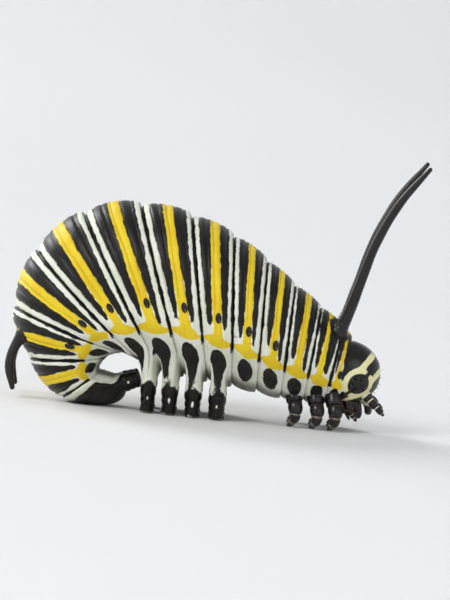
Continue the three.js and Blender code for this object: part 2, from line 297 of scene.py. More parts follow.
def raised_rings(place, out, first, second, profile, sides):
    """Rings of a low form on a surface: an oval with the two half sizes, at each (breadth, height) given."""
    turn = turns_of(sides)[:, None]
    oval = np.cos(turn) * first + np.sin(turn) * second
    return [place + out * lift + oval * wide for wide, lift in profile]


def mirrored(points, side):
    """Points of a left piece, or of its mirror image where the side is -1."""
    return np.asarray(points, float) * (1, side, 1)


# Materials


def linear(code):
    """Turn an sRGB hex colour to the linear values that the shader takes."""
    parts = [int(code[i : i + 2], 16) / 255 for i in (1, 3, 5)]
    return [p / 12.92 if p <= 0.04045 else ((p + 0.055) / 1.055) ** 2.4 for p in parts] + [1.0]


def fill(node, inputs):
    """Give a node its inputs: values, or what other nodes put out, where a node means its first output."""
    for name, value in inputs.items():
        if isinstance(value, bpy.types.Node):
            value = value.outputs[0]
        if isinstance(value, bpy.types.NodeSocket):
            node.id_data.links.new(value, node.inputs[name])
        else:
            node.inputs[name].default_value = value


def add_node(tree, kind, inputs=None, **settings):
    """Add one node, set its own properties, and fill or link its inputs."""
    made = tree.nodes.new(kind)
    for name, value in settings.items():
        setattr(made, name, value)
    fill(made, inputs or {})
    return made


def new_material(name, constants):
    """A material with one Principled shader, whose constant values sit on its own sockets."""
    material = bpy.data.materials.new(name)
    material.use_nodes = True
    tree = material.node_tree
    shader = next(node for node in tree.nodes if node.type == "BSDF_PRINCIPLED")
    fill(shader, constants)
    return material, tree, shader


def cuticle(colours):
    """Larval cuticle, grown soft with a thin wax over it.

    It gives the eye a satin skin: flat bright bands with living edges, painted shade inside the folds, and a
    fine grain.
    """
    waxed = {
        "IOR": 1.45,
        "Specular IOR Level": 0.3,
        "Subsurface Weight": 0.15,
        "Subsurface Radius": (1.0, 0.7, 0.35),
        "Subsurface Scale": 0.35 * MM,
    }
    material, tree, shader = new_material("larval cuticle", waxed)
    place = add_node(tree, "ShaderNodeTexCoord").outputs["Object"]
    read = {}
    for name in ("black", "yellow", "fold", "dusk", "station", "height"):
        read[name] = add_node(tree, "ShaderNodeAttribute", attribute_name=name).outputs["Fac"]

    # Band edges waver over about 0.45 mm, as pigment cells do
    waver = add_node(tree, "ShaderNodeTexNoise", {"Vector": place, "Scale": 1 / (0.45 * MM), "Detail": 3.0})
    masks = {}
    for name, reach in (("black", 0.1), ("yellow", 0.18)):
        lowered = add_node(tree, "ShaderNodeMath", {0: read[name], 1: reach}, operation="SUBTRACT")
        terms = {0: waver, 1: reach * 2, 2: lowered}
        moved = add_node(tree, "ShaderNodeMath", terms, operation="MULTIPLY_ADD")
        edge = {"Value": moved, "From Min": -0.03, "From Max": 0.03}
        masks[name] = add_node(tree, "ShaderNodeMapRange", edge, interpolation_type="SMOOTHSTEP")

    # Pigment lies unevenly in clouds of about 1.5 mm
    cloud = add_node(tree, "ShaderNodeTexNoise", {"Vector": place, "Scale": 1 / (1.5 * MM), "Detail": 4.0})
    cloudy = add_node(tree, "ShaderNodeMapRange", {"Value": cloud, "From Min": 0.35, "From Max": 0.65})
    pigment = {}
    for name in ("white", "yellow", "black"):
        plain, shade = getattr(colours, name), getattr(colours, f"{name}_shade")
        layers = {0: cloudy, 6: linear(plain), 7: linear(shade)}
        pigment[name] = add_node(tree, "ShaderNodeMix", layers, data_type="RGBA").outputs[2]

    # Each pigment lies over the ones before it, and painted shade darkens them all inside the folds
    colour = pigment["white"]
    for mask, over, blend in (
        (masks["yellow"], pigment["yellow"], "MIX"),
        (read["dusk"], linear(colours.dusk), "MIX"),
        (masks["black"], pigment["black"], "MIX"),
        # Painted shade: the fold colour multiplies the skin darker inside the cross folds
        (read["fold"], linear(colours.fold), "MULTIPLY"),
    ):
        layers = {0: mask, 6: colour, 7: over}
        colour = add_node(tree, "ShaderNodeMix", layers, data_type="RGBA", blend_type=blend).outputs[2]

    # Black cuticle is a little shinier than pale
    shine = add_node(tree, "ShaderNodeMapRange", {"Value": masks["black"], "To Min": 0.48, "To Max": 0.33})

    # Granules of 0.09 mm over cross wrinkles of about 0.14 mm, both drawn coarser than real so that they show
    grain = add_node(tree, "ShaderNodeTexVoronoi", {"Vector": place, "Scale": 1 / (0.09 * MM)})
    along = add_node(tree, "ShaderNodeMath", {0: read["station"], 1: 20.0}, operation="MULTIPLY")
    around = add_node(tree, "ShaderNodeMath", {0: read["height"], 1: 2.5}, operation="MULTIPLY")
    unrolled = add_node(tree, "ShaderNodeCombineXYZ", {"X": along, "Y": around})
    wrinkle = add_node(tree, "ShaderNodeTexNoise", {"Vector": unrolled, "Scale": 1.0, "Detail": 4.0})
    fine = add_node(tree, "ShaderNodeBump", {"Height": grain, "Strength": 0.4, "Distance": 0.03 * MM})
    wrinkled = {"Height": wrinkle, "Strength": 0.6, "Distance": 0.05 * MM, "Normal": fine}
    coarse = add_node(tree, "ShaderNodeBump", wrinkled)
    fill(shader, {"Base Color": colour, "Roughness": shine, "Normal": coarse})
    return material


# Hard finishes: darker and lighter tone, pale band, roughness, and the pits' spacing in millimetres,
# which is coarser than real so that they show
CHITIN = {
    # Polished shell: broad highlights on black, with cream bands
    "head chitin": ("#0C0B0A", "#171412", "#F0EBB4", 0.24, 0.07),
    # Clear smooth lenses over black: a sharp point of light in each
    "stemma lens": ("#050404", "#120C08", "#050404", 0.1, 0.2),
    # The hardest, tanned red-brown: the light shows their tan
    "jaw chitin": ("#0F0906", "#2C170D", "#CFC79C", 0.22, 0.08),
    # Black joints with pale membrane between them
    "feeler chitin": ("#0D0B0A", "#1B1613", "#E6E2BE", 0.3, 0.06),
    # Polished tubes with dull buff membrane between them
    "leg chitin": ("#0E0C0B", "#1D1613", "#6B6350", 0.28, 0.06),
    # Soft and black, with a dull, leathery sheen
    "filament cuticle": ("#0D0C0C", "#191414", "#191414", 0.42, 0.05),
    # Glossier than the skin round it, so that each breathing hole stands out
    "black horn": ("#070606", "#120E0C", "#2A201A", 0.18, 0.05),
    # Amber hooks that catch the light
    "hook horn": ("#2A1609", "#4A2A14", "#4A2A14", 0.25, 0.05),
    # Black hairs with a soft glint
    "bristle": ("#0B0908", "#1A1411", "#1A1411", 0.35, 0.05),
}


def chitin(name):
    """Hardened chitin, tanned dark and naturally polished.

    It gives the eye a glossy coat over faint pits, in two dark tones, with any pale band laid into it.
    """
    dark, light, band, roughness, spacing = CHITIN[name]
    coated = {"IOR": 1.56, "Specular IOR Level": 0.3, "Coat Weight": 0.22, "Coat Roughness": 0.1}
    material, tree, shader = new_material(name, coated)
    place = add_node(tree, "ShaderNodeTexCoord").outputs["Object"]
    cloud = add_node(tree, "ShaderNodeTexNoise", {"Vector": place, "Scale": 1 / (0.6 * MM), "Detail": 4.0})
    tone = add_node(tree, "ShaderNodeValToRGB", {"Fac": cloud})
    for element, position, colour in zip(tone.color_ramp.elements, (0.35, 0.7), (dark, light)):
        element.position = position
        element.color = linear(colour)

    # The edge of a pale band wavers over about 0.3 mm
    value = add_node(tree, "ShaderNodeAttribute", attribute_name="pale").outputs["Fac"]
    waver = add_node(tree, "ShaderNodeTexNoise", {"Vector": place, "Scale": 1 / (0.3 * MM), "Detail": 2.0})
    moved = add_node(tree, "ShaderNodeMath", {0: waver, 1: 0.08, 2: value}, operation="MULTIPLY_ADD")
    edge = {"Value": moved, "From Min": 0.02, "From Max": 0.06}
    mask = add_node(tree, "ShaderNodeMapRange", edge, interpolation_type="SMOOTHSTEP")
    layers = {0: mask, 6: tone, 7: linear(band)}
    colour = add_node(tree, "ShaderNodeMix", layers, data_type="RGBA").outputs[2]

    spread = {"Value": cloud, "To Min": roughness - 0.06, "To Max": roughness + 0.08}
    shine = add_node(tree, "ShaderNodeMapRange", spread)
    pits = add_node(tree, "ShaderNodeTexVoronoi", {"Vector": place, "Scale": 1 / (spacing * MM)})
    bump = add_node(tree, "ShaderNodeBump", {"Height": pits, "Strength": 0.3, "Distance": 0.015 * MM})
    fill(shader, {"Base Color": colour, "Roughness": shine, "Normal": bump})
    return material


def studio_paper(colour):
    """Matt studio paper, pressed from pulp: an even pale sheet with a barely visible fibre."""
    material, tree, shader = new_material("studio paper", {"Roughness": 0.9, "IOR": 1.4})
    place = add_node(tree, "ShaderNodeTexCoord").outputs["Object"]
    fibre = add_node(tree, "ShaderNodeTexNoise", {"Vector": place, "Scale": 1 / (1.2 * MM), "Detail": 5.0})
    tone = add_node(tree, "ShaderNodeValToRGB", {"Fac": fibre})
    base = linear(colour)
    tone.color_ramp.elements[0].color = [part * 0.985 for part in base[:3]] + [1.0]
    tone.color_ramp.elements[1].color = base
    fill(shader, {"Base Color": tone})
    return material


# The skin


def segment_shares(count, lines):
    """Shares of one segment, closer together where a crease or a fold needs them."""
    fine = np.linspace(0, 1, 2001)
    weight = np.ones_like(fine)
    for place, width, gain in lines:
        weight += gain * np.exp(-(((fine - place) / width) ** 2))
    run = np.concatenate([[0], np.cumsum((weight[1:] + weight[:-1]) / 2)])
    return np.interp(np.linspace(0, run[-1], count + 1)[:-1], run, fine)


# Behind the head the skin turns in: each row's share of the first ring's size, and how far back it lies
NECK = ((0.84, 0.4), (0.94, 0.16), (0.99, 0.04))
# Cross folds divide each segment into small rolls, and these are the shares of its length where they lie
ROLL_EDGES = (0.0, 0.19, 0.36, 0.52, 0.68, 0.84, 1.0)
FOLD_DEPTH = 0.11
# Breathing holes: the segments that have them, how far along and how high they lie, and their half sizes
SPIRACLE_RINGS = (0, *range(3, 11))
SPIRACLE_SHARE = 0.44
SPIRACLE_HEIGHT = -0.1
SPIRACLE_HALF = (0.27, 0.15)
ROWS_PER_SEGMENT = 44
COLUMNS = 120


@functools.lru_cache(maxsize=1)
def body_grid():
    """The folded skin as a grid of points, its outward directions and what is known of each point."""
    shares = segment_shares(ROWS_PER_SEGMENT, [(line, 0.025, 2.0) for line in ROLL_EDGES])
    tail = 1 - (1 - np.linspace(0, 1, ROWS_PER_SEGMENT + 1)) ** 1.7
    tail = tail[:-1] * 0.999
    stations = np.concatenate([shares + i for i in range(LAST)] + [tail + LAST])
    station, angle = np.meshgrid(stations, turns_of(COLUMNS), indexing="ij")
    points = body_surface(station, angle)
    relief, folds = fold_relief(station, angle, points)
    points = points + grid_outward(points) * relief[..., None]
    points[..., 2] = np.maximum(points[..., 2], 0.0)
    middle = points[0].mean(axis=0)
    neck = [middle + (points[0] - middle) * size - (behind, 0, 0) for size, behind in NECK]
    points = np.concatenate([neck, points])
    kept = (station, angle, folds)
    station, angle, folds = (np.concatenate([grid[:1]] * len(NECK) + [grid]) for grid in kept)
    return station, angle, points, grid_outward(points), folds


def grid_outward(points):
    """Unit outward direction at every point of a grid that closes on itself round its columns."""
    along = np.gradient(points, axis=0)
    around = np.roll(points, -1, axis=1) - np.roll(points, 1, axis=1)
    outward = np.cross(around, along)
    outward /= np.maximum(np.linalg.norm(outward, axis=-1), 1e-9)[..., None]
    centre = points.mean(axis=1, keepdims=True)
    if np.sum(outward * (points - centre)) < 0:
        outward = -outward
    return outward


def noise_field(points, size, seed):
    """Smooth noise from -1 to 1 with features of the given size in millimetres."""
    flat = points.reshape(-1, 3) / size + (seed * 7.3, seed * 3.1, seed * 5.7)
    return np.array([noise.noise(Vector(p)) for p in flat]).reshape(points.shape[:-1])


def segment_lengths(station, angle):
    """Length of the segment that each point lies in, measured along the skin through that point."""
    columns = angle[0]
    edges = [body_surface(place, columns) for place in (*range(SEGMENTS), SEGMENTS - 0.2)]
    lengths = np.linalg.norm(np.diff(edges, axis=0), axis=-1)
    segment = np.minimum(np.floor(station), LAST).astype(int)
    return lengths[segment, np.arange(len(columns))[None, :]]


def fold_relief(station, angle, points):
    """How far the skin stands out or in, and how deep in a cross fold each point is, from 0 to 1."""
    height = -np.cos(angle)
    segment = np.minimum(np.floor(station), LAST)
    share = station - segment
    wander = 0.02 * noise_field(points, 1.6, 1) * np.sin(np.pi * share)
    folds = np.ones_like(station)
    for low, high in zip(ROLL_EDGES, ROLL_EDGES[1:]):
        place = (share + wander - low) / (high - low)
        roll = np.clip(4 * place * (1 - place), 0, 1) ** 0.45
        folds = np.where((place > 0) & (place < 1), 1 - roll, folds)
    # The rolls fade to the belly, and on the last segment before its end, and are nowhere quite alike
    reach = 0.25 + 0.75 * smoothstep(-0.45, 0.15, height)
    reach = reach * np.where(segment == LAST, 1 - smoothstep(0.3, 0.8, share), 1)
    inner = np.sin(np.pi * share) ** 0.3
    reach = reach * (1 - inner * (0.3 + 0.3 * noise_field(points, 2.0, 6)))
    # They part round each spiracle
    beside = np.hypot((share - SPIRACLE_SHARE) / 0.1, (height - SPIRACLE_HEIGHT) / 0.13)
    reach = reach * smoothstep(0.7, 1.3, beside)
    relief = 0.035 * noise_field(points, 2.6, 2) + 0.012 * noise_field(points, 0.7, 3)
    # Short segments have shallow folds
    size = np.clip(segment_lengths(station, angle) / 2.8, 0.2, 1.1) ** 1.2
    relief -= FOLD_DEPTH * size * reach * folds
    # A long dimple by each spiracle, and a groove below the flank fold
    relief -= 0.07 * np.exp(-(((height + 0.08) / 0.13) ** 2)) * np.sin(np.pi * share) ** 2
    relief -= 0.08 * np.exp(-(((height + 0.64) / 0.09) ** 2)) * np.sin(np.pi * share)
    # The second value is how deep in a cross fold each point lies, which paints shade into the skin's colour
    return relief * smoothstep(0, 0.15, station), folds * reach


# For each segment: black bars as (centre, half breadth, lower end), and the yellow band's centre
BANDS = (
    (((0.16, 0.28, -0.2), (0.8, 0.12, -0.1)), 0.55),
    (((0.3, 0.17, -0.25), (0.78, 0.13, -0.15)), 0.56),
    (((0.25, 0.135, -0.3), (0.73, 0.14, -0.22)), 0.49),
    *((((0.25, 0.128, -0.3), (0.72, 0.13, -0.22)), 0.485),) * 8,
    (((0.26, 0.15, -0.25), (0.76, 0.14, -0.2)), 0.51),
    ((), None),
)
# A point far outside every mark, in millimetres
OUTSIDE = -9.0
YELLOW_HALF = 0.15
# Heights run from -1 at the belly to 1 at the back, and the flank fold lies at this one
FLANK = -0.4
# The oval patches below the flank fold: half length as a share of the segment, and half height
PATCH_HALF = (0.3, 0.17)


def markings(station, angle):
    """How far each point lies inside the black and the yellow marks, in millimetres, and how dusky it is."""
    height = -np.cos(angle)
    segment = np.minimum(np.floor(station), LAST).astype(int)
    share = station - segment
    length = segment_lengths(station, angle)
    half_heights = np.array([np.linalg.norm(np.subtract(*ring[:2])) / 2 for ring in RINGS])
    half_height = np.interp(station, np.arange(SEGMENTS + 1), half_heights)
    black = np.full(station.shape, OUTSIDE)
    yellow = np.full(station.shape, OUTSIDE)
    # The bars of no two segments are quite alike
    draw = random.Random(4)
    for number, (bars, yellow_centre) in enumerate(BANDS):
        own = segment == number
        for centre, half, end in bars:
            centre += draw.uniform(-0.008, 0.008)
            half *= draw.uniform(0.9, 1.1)
            end += draw.uniform(-0.06, 0.06)
            rounded = np.sqrt(1 - (1 - np.clip((height - end) / 0.14, 0, 1)) ** 2)
            taper = 0.6 + 0.4 * smoothstep(end, 0.75, height)
            inside = (half * taper * rounded - np.abs(share - centre)) * length
            inside = np.where(height < end, (height - end) * half_height, inside)
            black = np.where(own, np.maximum(black, inside), black)
        if yellow_centre is not None:
            middle = (YELLOW_HALF - np.abs(share - yellow_centre)) * length
            middle = np.minimum(middle, (height - FLANK) * half_height)
            yellow = np.where(own, np.maximum(yellow, middle), yellow)
    # A thin black line in each crease, down to the flank fold
    near_crease = np.minimum(share, 1 - share) * length
    line = np.minimum(0.1 - near_crease, (height + 0.5) * half_height)
    black = np.maximum(black, np.where(station > 0.5, line, OUTSIDE))
    # A yellow stripe runs along the flank fold and is pinched at each crease
    stripe = 0.36 - np.abs(height - FLANK) * half_height - 0.3 * (1 - np.sin(np.pi * share))
    yellow = np.maximum(yellow, np.where(segment < LAST, stripe, OUTSIDE))
    # Black patches below it, over each leg or where a leg would be
    patch = 1 - np.hypot((share - 0.5) / PATCH_HALF[0], (height + 0.68) / PATCH_HALF[1])
    black = np.maximum(black, np.where(segment < LAST, patch * PATCH_HALF[1] * half_height, OUTSIDE))
    # The shield over the tail's end
    shield = np.minimum((height + 0.5) * half_height, (share - 0.2) * length)
    black = np.maximum(black, np.where(segment == LAST, shield, OUTSIDE))
    dusk = 0.85 * smoothstep(-0.78, -0.92, height)
    return black, yellow, dusk


def exit_point(points, outward, line):
    """Where a line meets the body from its far end: the nearest grid place and the share of its length."""
    shares = np.linspace(1, 0, 81)
    centre, _ = smooth_line(line, shares)
    found = None
    for share, place in zip(shares, centre):
        gap = np.linalg.norm(points - place, axis=-1)
        row, column = np.unravel_index(np.argmin(gap), gap.shape)
        if np.dot(place - points[row, column], outward[row, column]) < 0:
            return found
        found = row, column, share
    raise ValueError("a limb never meets the body")


# A limb covers the skin within this many of its half sizes, and within so many millimetres of its way out
PATCH_REACH = 1.12
PATCH_NEAR = 2.0


def patch_range(points, outward, limb):
    """Rows and columns of the patch that a limb takes the place of: all that it covers, seen along it."""
    row, column, _ = exit_point(points, outward, limb.line)
    first, second, axis = limb.across(points)
    covered = np.hypot(first, second) < PATCH_REACH
    near = np.linalg.norm(points - points[row, column], axis=-1) < PATCH_NEAR
    rows, columns = np.nonzero(covered & near & (outward @ axis > 0.05))
    columns = (columns - column + COLUMNS // 2) % COLUMNS + column - COLUMNS // 2
    return rows.min(), rows.max(), columns.min(), columns.max()


def even_turns(turn):
    """Bearings round a limb, kept in order and spread more evenly about the same mean."""
    run = np.unwrap(turn)
    way = np.sign(run[-1] - run[0])
    even = 2 * np.pi / len(turn)
    steps = np.diff(np.append(run, run[0] + way * 2 * np.pi)) * way
    steps = 0.5 * np.maximum(steps, 0.2 * even) + 0.5 * even
    steps *= 2 * np.pi / steps.sum()
    spread = run[0] + way * np.concatenate([[0], np.cumsum(steps[:-1])])
    return spread + (run - spread).mean()


def patch_loop(low_row, high_row, low, high):
    """Grid places round a patch, in order."""
    loop = [(low_row, c) for c in range(low, high)]
    loop += [(r, high) for r in range(low_row, high_row)]
    loop += [(high_row, c) for c in range(high, low, -1)]
    loop += [(r, low) for r in range(high_row, low_row, -1)]
    return [(r, c % COLUMNS) for r, c in loop]


@dataclasses.dataclass
class Limb:
    """A fleshy limb that the skin runs into: ring centres, ring directions and half sizes, root first."""

    line: np.ndarray
    side: int
    centres: np.ndarray
    first: np.ndarray
    second: np.ndarray
    half_first: np.ndarray
    half_second: np.ndarray
    black_from: float

    def across(self, points):
        """Where points lie across the limb's root, in its half sizes, and the way the limb leads."""
        axis = self.centres[1] - self.centres[0]
        axis = axis / np.linalg.norm(axis)
        offset = points - self.centres[0]
        offset = offset - (offset @ axis)[..., None] * axis
        first = offset @ self.first[0] / self.half_first[0]
        return first, offset @ self.second[0] / self.half_second[0], axis

    def ring(self, number, turn, size=1.0):
        """Points of one ring at the given bearings."""
        wide = (np.cos(turn) * self.half_first[number] * size)[:, None] * self.first[number]
        deep = (np.sin(turn) * self.half_second[number] * size)[:, None] * self.second[number]
        return self.centres[number] + wide + deep

    def black(self, along, turn):
        """Black towards the end of the limb, round a pale fleck on its outer face, in millimetres."""
        outer = (np.cos(turn) * self.first[0][1] + np.sin(turn) * self.second[0][1]) * self.side
        beside = 0.8 * np.sqrt(np.clip(1 - outer**2, 0, 1)) + np.where(outer < 0, 2.0, 0.0)
        # Each limb's fleck has its own height and size
        own = math.sin(5.1 * self.centres[0][0] + self.side)
        below = (along - self.black_from - 0.22 - 0.04 * own) * LIMB_LENGTH
        cuff = (along - self.black_from + 0.1 * outer) * LIMB_LENGTH
        fleck = np.hypot(below * (0.9 - 0.15 * own), beside * (0.95 + 0.15 * own)) - 0.1
        return np.minimum(soft_min(cuff, fleck, 0.08), (PAD_FROM - along) * LIMB_LENGTH)


# How long a fleshy limb is, near enough, the share of its line from which its rings show, and the one where
# the soft pad of its sole begins
LIMB_LENGTH = 2.2
LIMB_START = 0.62
PAD_FROM = 0.93
# Prolegs: the segments that have them and shares down them, with half sizes there along the body, as shares
# of the segment's length, and across it
PROLEG_RINGS = (5, 6, 7, 8)
PROLEG_DOWN = (0.0, 0.35, 0.58, 0.78, 0.9, 1.0)
PROLEG_ALONG = (0.375, 0.39, 0.39, 0.33, 0.3, 0.33)
PROLEG_HALF = (0.95, 0.94, 0.88, 0.73, 0.67, 0.73)


def proleg(ring, side):
    """One of the paired prolegs under the third to sixth abdominal segments."""
    bellies = [edge[1] for edge in RINGS]
    middle, fore, hind = (catmull(bellies, (ring + k) / SEGMENTS) for k in (0.5, 0, 1))
    pitch = np.linalg.norm(fore - hind)
    root = np.array([middle[0] - 0.1, 2.3 * side, middle[1] + 1.9])
    sole = np.array([middle[0], 1.75 * side, 0.0])
    rim = (0.96, 0.98, 0.993, 1.0)
    down = np.concatenate([np.linspace(LIMB_START, rim[0], 25), rim[1:]])
    centres = root + (sole - root) * down[:, None]
    along = np.interp(down, PROLEG_DOWN, PROLEG_ALONG) * pitch
    half = np.interp(down, PROLEG_DOWN, PROLEG_HALF)
    # Three soft rolls, shorter downwards and a little higher or lower from leg to leg, and a round rim
    shift = 0.02 * math.sin(2.3 * ring + side)
    reach = np.clip((down - LIMB_START + shift) / (rim[0] - LIMB_START), 0, 1)
    roll = np.abs(np.sin(3 * np.pi * reach**1.3)) ** 0.6
    size = 1 + (0.13 * roll - 0.08) * (1 - smoothstep(0.88, 0.94, down))
    size = size * np.interp(down, rim, (1.0, 0.98, 0.93, 0.84))
    line = np.array([root, (root + sole) / 2, sole])
    first, second = np.tile(((1.0, 0.0, 0.0), (0.0, side, 0.0)), (len(down), 1, 1)).transpose(1, 0, 2)
    return Limb(line, side, centres, first, second, along * size, half * size, 0.36)


# The last pair: middle line of the left one from inside the body to the tip, and radii along it
ANAL_LINE = ((-7.4, 0.8, 0.8), (-6.6, 0.85, 1.25), (-5.85, 0.85, 1.6), (-5.2, 0.8, 1.85))
ANAL_RADII = (0.68, 0.66, 0.58, 0.5, 0.46)


def anal_proleg(side):
    """One of the last pair, which reaches forward from under the tail's end."""
    line = mirrored(ANAL_LINE, side)
    rim = (0.94, 0.97, 0.99, 1.0)
    shares = np.concatenate([np.linspace(LIMB_START, rim[0], 20), rim[1:]])
    centres, along = smooth_line(line, shares)
    second = np.cross(along, (0.0, 1.0, 0.0))
    second /= np.linalg.norm(second, axis=1)[:, None]
    first = np.cross(second, along)
    radius = catmull(ANAL_RADII, shares) * 1.06
    radius = radius * (0.94 + 0.07 * np.abs(np.sin((shares - LIMB_START) / 0.13 * np.pi)) ** 0.6)
    radius = radius * np.interp(shares, rim, (1.0, 0.96, 0.86, 0.7))
    return Limb(line, side, centres, first, second, radius, radius, 0.3)


def fleshy_limbs():
    """All that the skin runs into: eight prolegs and the last pair."""
    limbs = [proleg(ring, side) for ring in PROLEG_RINGS for _, side in SIDES]
    return limbs + [anal_proleg(side) for _, side in SIDES]


def skin_shell():
    """The whole skin as one closed surface, with the fleshy limbs grown out of it."""
    station, angle, points, outward, folds = body_grid()
    black, yellow, dusk = markings(station, angle)
    black = black + 0.05 * noise_field(points, 1.2, 9)
    black[: len(NECK) + 1] = 0.3
    # Black spreads over the skin round each filament's root
    for line, reach in ((FRONT_LINE, 0.76), (REAR_LINE, 0.68)):
        for _, side in SIDES:
            row, column, _ = exit_point(points, outward, mirrored(line, side))
            away = np.linalg.norm(points - points[row, column], axis=-1)
            black = soft_max(black, reach - away, 0.2)
    values = {
        "black": black,
        "yellow": yellow,
        "dusk": dusk,
        # Painted shade: the deeper in a cross fold, the darker the skin's colour
        "fold": folds**1.5,
        "station": station,
        "height": -np.cos(angle),
    }
    limbs = [(limb, patch_range(points, outward, limb)) for limb in fleshy_limbs()]
    covered = set()
    for _, (low_row, high_row, low, high) in limbs:
        covered |= {r * COLUMNS + c % COLUMNS for r in range(low_row, high_row) for c in range(low, high)}
    shell = Shell(**dict.fromkeys(values, 0.0))
    shell.add_rings(points, without=covered, **values)
    for limb, patch in limbs:
        grow_limb(shell, limb, patch_loop(*patch), points, outward, values)
    return shell


def grow_limb(shell, limb, loop, points, outward, values):
    """Run the skin from the edge of its patch into a limb's rings and close the limb's end."""
    rows = np.array([place[0] for place in loop])
    columns = np.array([place[1] for place in loop])
    edge = points[rows, columns]
    normal = outward[rows, columns]
    first, second, axis = limb.across(edge)
    turn = even_turns(np.arctan2(second, first))
    start_ring = limb.ring(0, turn)
    inward = edge.mean(axis=0) - edge
    inward -= normal * np.sum(inward * normal, axis=1)[:, None]
    inward /= np.linalg.norm(inward, axis=1)[:, None]
    reach = np.linalg.norm(start_ring - edge, axis=1)[:, None] * 0.8
    rings = []
    for t in np.linspace(0, 1, 10)[1:-1]:
        leaving = edge * (2 * t**3 - 3 * t**2 + 1) + inward * reach * (t**3 - 2 * t**2 + t)
        arriving = start_ring * (3 * t**2 - 2 * t**3) + axis * reach * (t**3 - t**2)
        rings.append(leaving + arriving)
    last = len(limb.centres) - 1
    rings += [limb.ring(number, turn) for number in range(last + 1)]
    rings.append(limb.ring(last, turn, size=0.5))
    count = len(loop)
    ahead = (np.arange(count) + 1) % count
    below = rows * COLUMNS + columns
    joining = len(rings) - last - 2
    for number, ring in enumerate(rings):
        along = np.interp(number + 1, (0, joining + 1, len(rings)), (0, 0.3, 1))
        fade = smoothstep(0, 0.3, along)
        own = {name: values[name][rows, columns] * (1 - fade) for name in values}
        own["black"] = own["black"] + (limb.black(along, turn) + 0.09 * noise_field(ring, 0.28, 8)) * fade
        own["dusk"] = own["dusk"] + smoothstep(PAD_FROM - 0.03, PAD_FROM, along)
        own["yellow"] = own["yellow"] - 0.5 * fade
        above = shell.add_points(ring, **own) + np.arange(count)
        shell.faces += np.stack([below, below[ahead], above[ahead], above], axis=1).tolist()
        below = above
    tip = shell.add_points(rings[-1].mean(axis=0), black=-0.3, dusk=1.0)
    for k in range(count):
        shell.faces.append([below[k], below[ahead[k]], tip])


# Small things on the skin


def spiracle_shell():
    """Breathing holes down both flanks, each a glossy oval rim round a sunk slit."""
    station, _, points, outward, _ = body_grid()
    profile = ((1.25, -0.05), (1.12, 0.05), (0.98, 0.1), (0.82, 0.1), (0.7, 0.07), (0.5, 0.045), (0.2, 0.03))
    shell = Shell()
    for ring in SPIRACLE_RINGS:
        for _, side in SIDES:
            row = np.argmin(np.abs(station[:, 0] - ring - SPIRACLE_SHARE))
            column = round(side * math.acos(-SPIRACLE_HEIGHT) / (2 * math.pi) * COLUMNS) % COLUMNS
            up = points[row, (column + side) % COLUMNS] - points[row, column]
            up /= np.linalg.norm(up)
            out = outward[row, column]
            # The first pair is smaller
            high, broad = np.multiply(SPIRACLE_HALF, 0.8 if ring == 0 else 1.0)
            oval = up * high, np.cross(up, out) * broad
            rings = raised_rings(points[row, column], out, *oval, profile, 28)
            shell.add_rings(rings, pale=[0.1 if wide == 0.5 else DARK for wide, _ in profile])
    return shell


def crochet_shell():
    """Small hooks in an arc on the inner edge of every proleg's sole."""
    shell = Shell()
    shares = np.linspace(0, 1, 6)
    for limb in fleshy_limbs():
        axis = limb.centres[-1] - limb.centres[-4]
        axis /= np.linalg.norm(axis)
        inner = np.arctan2(-limb.side * limb.second[-1][1], -limb.side * limb.first[-1][1])
        for turn in inner + np.linspace(-1.25, 1.25, 17):
            rim = limb.ring(-3, np.array([turn]))[0]
            out = rim - limb.centres[-3]
            out /= np.linalg.norm(out)
            line = [rim - axis * 0.12 - out * 0.03, rim + out * 0.045, rim + axis * 0.07 - out * 0.02]
            rings = rings_along(line, shares, catmull((0.03, 0.024, 0.008), shares), 6)
            rings[..., 2] = np.maximum(rings[..., 2], 0.004)
            shell.add_rings(rings)
    return shell


BODY_BRISTLES = 620
HEAD_BRISTLES = 64


def bristle_shell():
    """Short bristles, sparse on the body and a little denser on the head, most of them leaning back."""
    draw = random.Random(11)
    shell = Shell(pale=DARK, map_u=0.0, map_v=0.0)
    _, _, points, outward, _ = body_grid()
    # Each bristle's place, direction, length and place on the unrolled skin, never two at one grid point
    spots = {}
    while len(spots) < BODY_BRISTLES:
        row, column = draw.randrange(20, len(points) - 25), draw.randrange(COLUMNS)
        if points[row, column, 2] > 0.5:
            root = (0.02 + 0.86 * row / len(points), 0.02 + 0.96 * column / COLUMNS)
            spots[row, column] = (points[row, column], outward[row, column], draw.uniform(0.08, 0.17), root)
    for number in range(HEAD_BRISTLES):
        turn, angle = draw.uniform(0.15, 1.75), draw.uniform(0, 2 * math.pi)
        place = head_surface(np.array(turn), np.array(angle))
        root = (0.9 + 0.04 * turn, 0.02 + 0.96 * angle / (2 * math.pi))
        spots["head", number] = (place, head_direction(place), draw.uniform(0.12, 0.24), root)
    turns = turns_of(4)
    for place, out, length, root in spots.values():
        lean = np.array([draw.uniform(-0.5, 0.2), draw.uniform(-0.3, 0.3), draw.uniform(-0.3, 0.3)])
        tip = place + (out + lean) * length
        line = np.array([place - out * 0.04, place + out * length * 0.5, tip])
        right = np.cross(out, (0.3, 0.5, 0.81))
        right /= np.linalg.norm(right)
        above = np.cross(out, right)
        wide = np.array([0.01, 0.0075, 0.002])[:, None, None]
        rings = line[:, None] + wide * (np.cos(turns)[:, None] * right + np.sin(turns)[:, None] * above)
        patch = np.array([0.0015, 0.001, 0.0005])[:, None]
        map_u, map_v = root[0] + patch * np.cos(turns), root[1] + patch * np.sin(turns)
        shell.add_rings(rings, map_u=map_u, map_v=map_v)
    return shell


